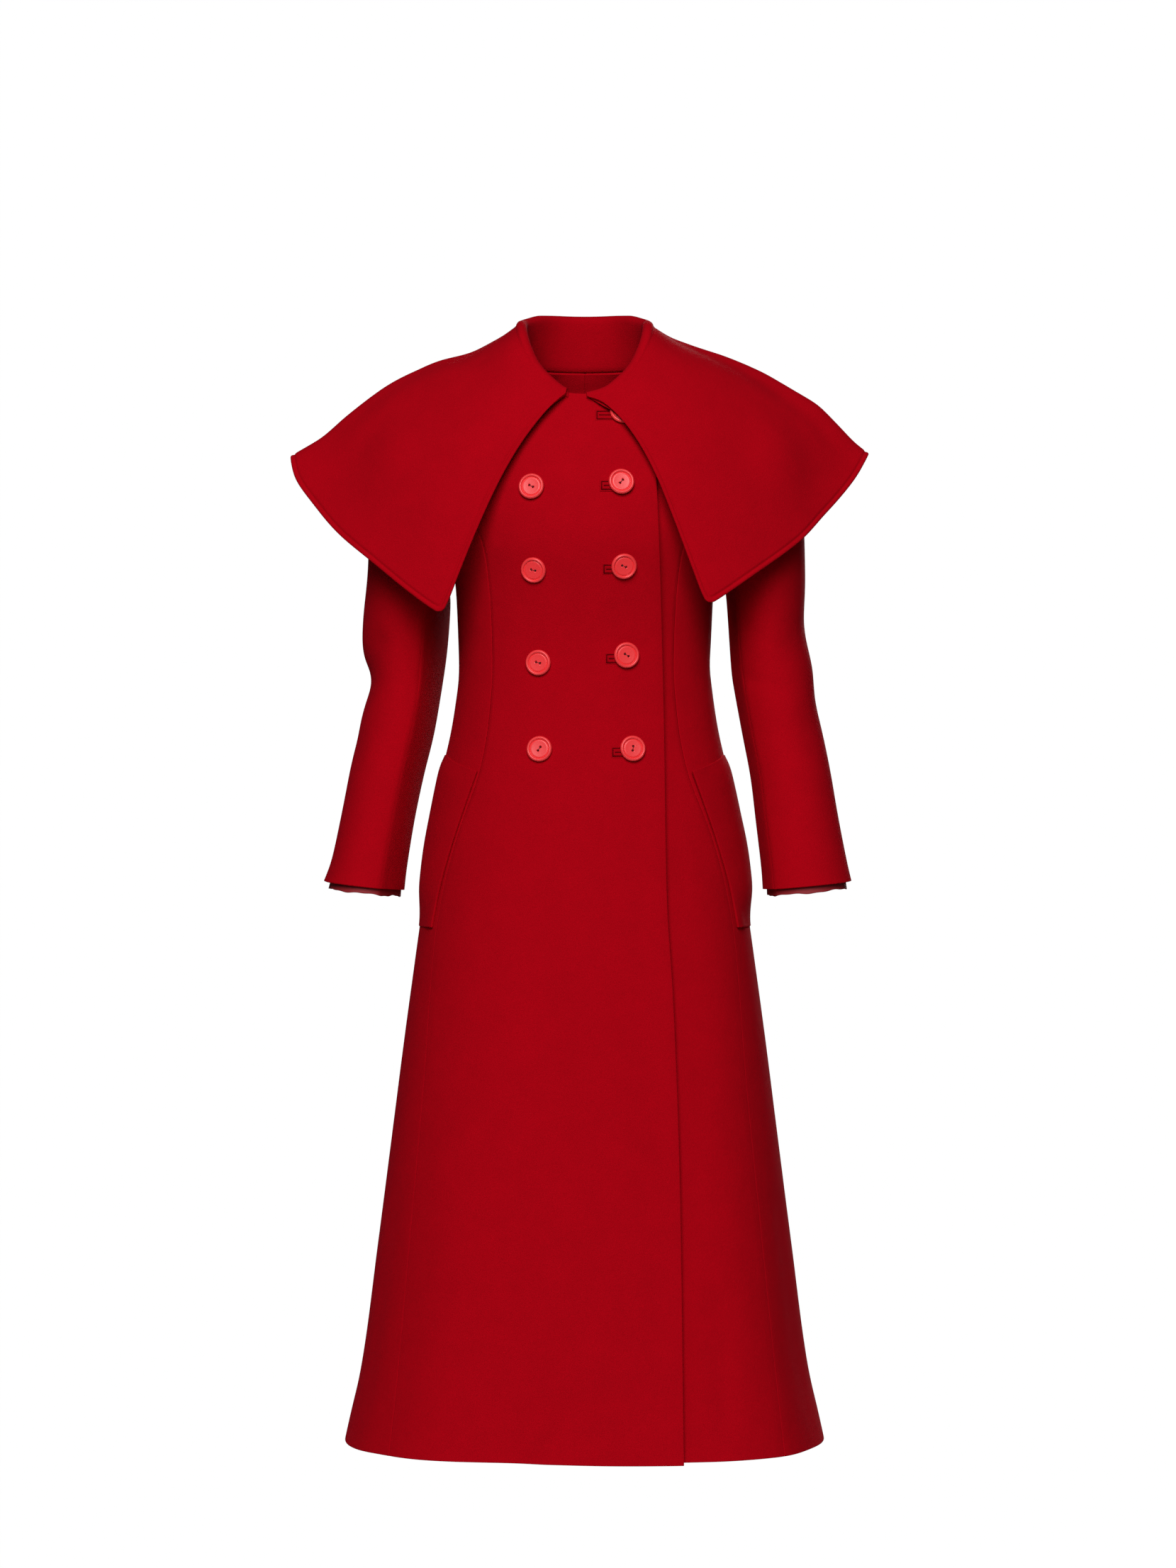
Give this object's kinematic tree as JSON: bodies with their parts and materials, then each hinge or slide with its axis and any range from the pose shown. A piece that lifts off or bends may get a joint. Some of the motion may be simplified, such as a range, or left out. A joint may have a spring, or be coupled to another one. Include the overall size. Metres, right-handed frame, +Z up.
{
  "type": "pilgrim collar coat",
  "caption": "Fitted and flared double-breasted wool coat with a very wide pilgrim collar, long sleeves and slanted hip pockets, in its hollow worn form.",
  "frame": {"origin": "centre of the neck opening at the height of the neck points, where the wearer's neck and shoulders hold the coat", "axes": "+Z up, -Y towards the coat's front, +X towards the wearer's left"},
  "size_m": [0.5969, 0.4069, 1.1641],
  "materials": {
    "wool": "matte, fulled double-faced wool with a short nap",
    "lining": "satin",
    "button": "satin"
  },
  "bodies": {
    "root": {"front_right": "wool", "front_left": "wool", "side_right": "wool", "side_left": "wool", "back_right": "wool", "back_left": "wool", "collar": "wool", "sleeve_top_right": "wool", "sleeve_top_left": "wool", "sleeve_under_right": "wool", "sleeve_under_left": "wool", "pocket_right": "wool", "pocket_left": "wool", "buttonhole_0": "wool", "buttonhole_1": "wool", "buttonhole_2": "wool", "buttonhole_3": "wool", "buttonhole_4": "wool", "cuff_lining_right": "lining", "cuff_lining_left": "lining", "button_right_column_1": "button", "button_right_column_2": "button", "button_right_column_3": "button", "button_right_column_4": "button", "button_left_column_0": "button", "button_left_column_1": "button", "button_left_column_2": "button", "button_left_column_3": "button", "button_left_column_4": "button"}
  },
  "joints": []
}
